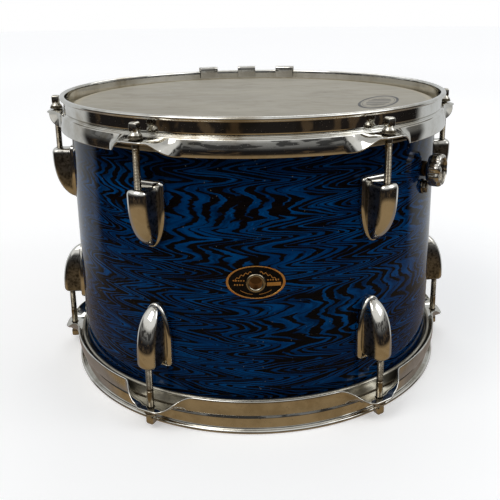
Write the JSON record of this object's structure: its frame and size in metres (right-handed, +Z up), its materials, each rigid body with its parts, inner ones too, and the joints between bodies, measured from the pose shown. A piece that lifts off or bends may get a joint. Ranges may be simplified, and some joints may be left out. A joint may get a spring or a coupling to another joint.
{
  "type": "mounted tom-tom drum",
  "caption": "Covered ply-shell tom-tom with flanged chrome hoops, bullet lugs, tension rods, a batter and a resonant head, a vent, a badge and an inside damper.",
  "frame": {"origin": "centre of the plane that the bottom rim rests on", "axes": "+Z up towards the batter head, -Y towards the badge, +X to the right of someone who faces the badge"},
  "size_m": [0.3744, 0.3477, 0.252],
  "materials": {
    "hoop_chrome": "bright plating, slightly dulled and pitted with age",
    "lug_chrome": "polished plating",
    "rod_steel": "worn plating, dull threads",
    "nut_brass": "plain machined",
    "head_film": "coated film, soiled and smudged",
    "flesh_hoop_aluminium": "plain drawn",
    "shell_covering": "glossy deep blue with streaked black figure",
    "shell_wood": "clear sealed",
    "badge_enamel": "gloss black with a brass border",
    "vent_chrome": "polished plating",
    "knob_chrome": "worn plating with dents",
    "muffler_steel": "zinc plated",
    "muffler_bronze": "dark patina",
    "muffler_felt": "pressed wool felt",
    "clip_chrome": "polished plating"
  },
  "bodies": {
    "resonant_frame": {"resonant_hoop": "hoop_chrome", "resonant_head": "head_film", "resonant_flesh_hoop": "flesh_hoop_aluminium"},
    "shell": {"shell_plies": "shell_wood", "shell_wrap": "shell_covering", "upper_reinforcement_ring": "shell_wood", "lower_reinforcement_ring": "shell_wood", "lug_casing_upper_1": "lug_chrome", "lug_casing_upper_2": "lug_chrome", "lug_casing_upper_3": "lug_chrome", "lug_casing_upper_4": "lug_chrome", "lug_casing_upper_5": "lug_chrome", "lug_casing_upper_6": "lug_chrome", "lug_casing_lower_1": "lug_chrome", "lug_casing_lower_2": "lug_chrome", "lug_casing_lower_3": "lug_chrome", "lug_casing_lower_4": "lug_chrome", "lug_casing_lower_5": "lug_chrome", "lug_casing_lower_6": "lug_chrome", "swivel_nut_upper_1": "nut_brass", "swivel_nut_upper_2": "nut_brass", "swivel_nut_upper_3": "nut_brass", "swivel_nut_upper_4": "nut_brass", "swivel_nut_upper_5": "nut_brass", "swivel_nut_upper_6": "nut_brass", "swivel_nut_lower_1": "nut_brass", "swivel_nut_lower_2": "nut_brass", "swivel_nut_lower_3": "nut_brass", "swivel_nut_lower_4": "nut_brass", "swivel_nut_lower_5": "nut_brass", "swivel_nut_lower_6": "nut_brass", "badge": "badge_enamel", "vent_grommet": "vent_chrome", "muffler_bush": "muffler_bronze", "muffler_bolt": "muffler_bronze", "muffler_bracket": "muffler_steel", "muffler_pivot_pin": "muffler_steel"},
    "batter_frame": {"batter_hoop": "hoop_chrome", "batter_head": "head_film", "batter_flesh_hoop": "flesh_hoop_aluminium", "rim_clip_1": "clip_chrome", "rim_clip_2": "clip_chrome", "rim_clip_3": "clip_chrome"},
    "muffler_control": {"muffler_knob": "knob_chrome", "muffler_cam_shaft": "muffler_steel"},
    "muffler_damper": {"muffler_arm": "muffler_steel", "muffler_felt_pad": "muffler_felt"},
    "upper_rod_1": {"tension_rod_upper_1": "rod_steel"},
    "upper_rod_2": {"tension_rod_upper_2": "rod_steel"},
    "upper_rod_3": {"tension_rod_upper_3": "rod_steel"},
    "upper_rod_4": {"tension_rod_upper_4": "rod_steel"},
    "upper_rod_5": {"tension_rod_upper_5": "rod_steel"},
    "upper_rod_6": {"tension_rod_upper_6": "rod_steel"},
    "lower_rod_1": {"tension_rod_lower_1": "rod_steel"},
    "lower_rod_2": {"tension_rod_lower_2": "rod_steel"},
    "lower_rod_3": {"tension_rod_lower_3": "rod_steel"},
    "lower_rod_4": {"tension_rod_lower_4": "rod_steel"},
    "lower_rod_5": {"tension_rod_lower_5": "rod_steel"},
    "lower_rod_6": {"tension_rod_lower_6": "rod_steel"}
  },
  "joints": [
    {"name": "shell_lift", "type": "slide", "parent": "resonant_frame", "child": "shell", "axis": [0, 0, 1], "range_m": [0, 0.01]},
    {"name": "batter_hoop_lift", "type": "slide", "parent": "shell", "child": "batter_frame", "axis": [0, 0, 1], "range_m": [0, 0.01]},
    {"name": "muffler_knob_turn", "type": "hinge", "parent": "shell", "child": "muffler_control", "pos_m": [0.14338, -0.09134, 0.18975], "axis": [-0.8434, 0.5373, 0], "range_deg": [0, 270]},
    {"name": "muffler_arm_lift", "type": "hinge", "parent": "shell", "child": "muffler_damper", "pos_m": [0.12509, -0.07969, 0.1989], "axis": [0.5373, 0.8434, 0], "range_deg": [0, 12.5]},
    {"name": "upper_rod_1_turn", "type": "hinge", "parent": "batter_frame", "child": "upper_rod_1", "pos_m": [0.09698, -0.15223, 0.225], "axis": [0, 0, 1], "range_deg": [0, 3401.58]},
    {"name": "upper_rod_2_turn", "type": "hinge", "parent": "batter_frame", "child": "upper_rod_2", "pos_m": [0.18033, 0.00787, 0.225], "axis": [0, 0, 1], "range_deg": [0, 3401.58]},
    {"name": "upper_rod_3_turn", "type": "hinge", "parent": "batter_frame", "child": "upper_rod_3", "pos_m": [0.08335, 0.1601, 0.225], "axis": [0, 0, 1], "range_deg": [0, 3401.58]},
    {"name": "upper_rod_4_turn", "type": "hinge", "parent": "batter_frame", "child": "upper_rod_4", "pos_m": [-0.09698, 0.15223, 0.225], "axis": [0, 0, 1], "range_deg": [0, 3401.58]},
    {"name": "upper_rod_5_turn", "type": "hinge", "parent": "batter_frame", "child": "upper_rod_5", "pos_m": [-0.18033, -0.00787, 0.225], "axis": [0, 0, 1], "range_deg": [0, 3401.58]},
    {"name": "upper_rod_6_turn", "type": "hinge", "parent": "batter_frame", "child": "upper_rod_6", "pos_m": [-0.08335, -0.1601, 0.225], "axis": [0, 0, 1], "range_deg": [0, 3401.58]},
    {"name": "lower_rod_1_turn", "type": "hinge", "parent": "resonant_frame", "child": "lower_rod_1", "pos_m": [0.09698, -0.15223, 0.022], "axis": [0, 0, -1], "range_deg": [0, 3401.58]},
    {"name": "lower_rod_2_turn", "type": "hinge", "parent": "resonant_frame", "child": "lower_rod_2", "pos_m": [0.18033, 0.00787, 0.022], "axis": [0, 0, -1], "range_deg": [0, 3401.58]},
    {"name": "lower_rod_3_turn", "type": "hinge", "parent": "resonant_frame", "child": "lower_rod_3", "pos_m": [0.08335, 0.1601, 0.022], "axis": [0, 0, -1], "range_deg": [0, 3401.58]},
    {"name": "lower_rod_4_turn", "type": "hinge", "parent": "resonant_frame", "child": "lower_rod_4", "pos_m": [-0.09698, 0.15223, 0.022], "axis": [0, 0, -1], "range_deg": [0, 3401.58]},
    {"name": "lower_rod_5_turn", "type": "hinge", "parent": "resonant_frame", "child": "lower_rod_5", "pos_m": [-0.18033, -0.00787, 0.022], "axis": [0, 0, -1], "range_deg": [0, 3401.58]},
    {"name": "lower_rod_6_turn", "type": "hinge", "parent": "resonant_frame", "child": "lower_rod_6", "pos_m": [-0.08335, -0.1601, 0.022], "axis": [0, 0, -1], "range_deg": [0, 3401.58]}
  ],
  "couplings": [
    {"joint": "muffler_arm_lift", "follows": "muffler_knob_turn", "ratio": 0.046296},
    {"joint": "upper_rod_1_turn", "follows": "batter_hoop_lift", "rad_per_m": 5936.9},
    {"joint": "upper_rod_2_turn", "follows": "batter_hoop_lift", "rad_per_m": 5936.9},
    {"joint": "upper_rod_3_turn", "follows": "batter_hoop_lift", "rad_per_m": 5936.9},
    {"joint": "upper_rod_4_turn", "follows": "batter_hoop_lift", "rad_per_m": 5936.9},
    {"joint": "upper_rod_5_turn", "follows": "batter_hoop_lift", "rad_per_m": 5936.9},
    {"joint": "upper_rod_6_turn", "follows": "batter_hoop_lift", "rad_per_m": 5936.9},
    {"joint": "lower_rod_1_turn", "follows": "shell_lift", "rad_per_m": 5936.9},
    {"joint": "lower_rod_2_turn", "follows": "shell_lift", "rad_per_m": 5936.9},
    {"joint": "lower_rod_3_turn", "follows": "shell_lift", "rad_per_m": 5936.9},
    {"joint": "lower_rod_4_turn", "follows": "shell_lift", "rad_per_m": 5936.9},
    {"joint": "lower_rod_5_turn", "follows": "shell_lift", "rad_per_m": 5936.9},
    {"joint": "lower_rod_6_turn", "follows": "shell_lift", "rad_per_m": 5936.9}
  ]
}
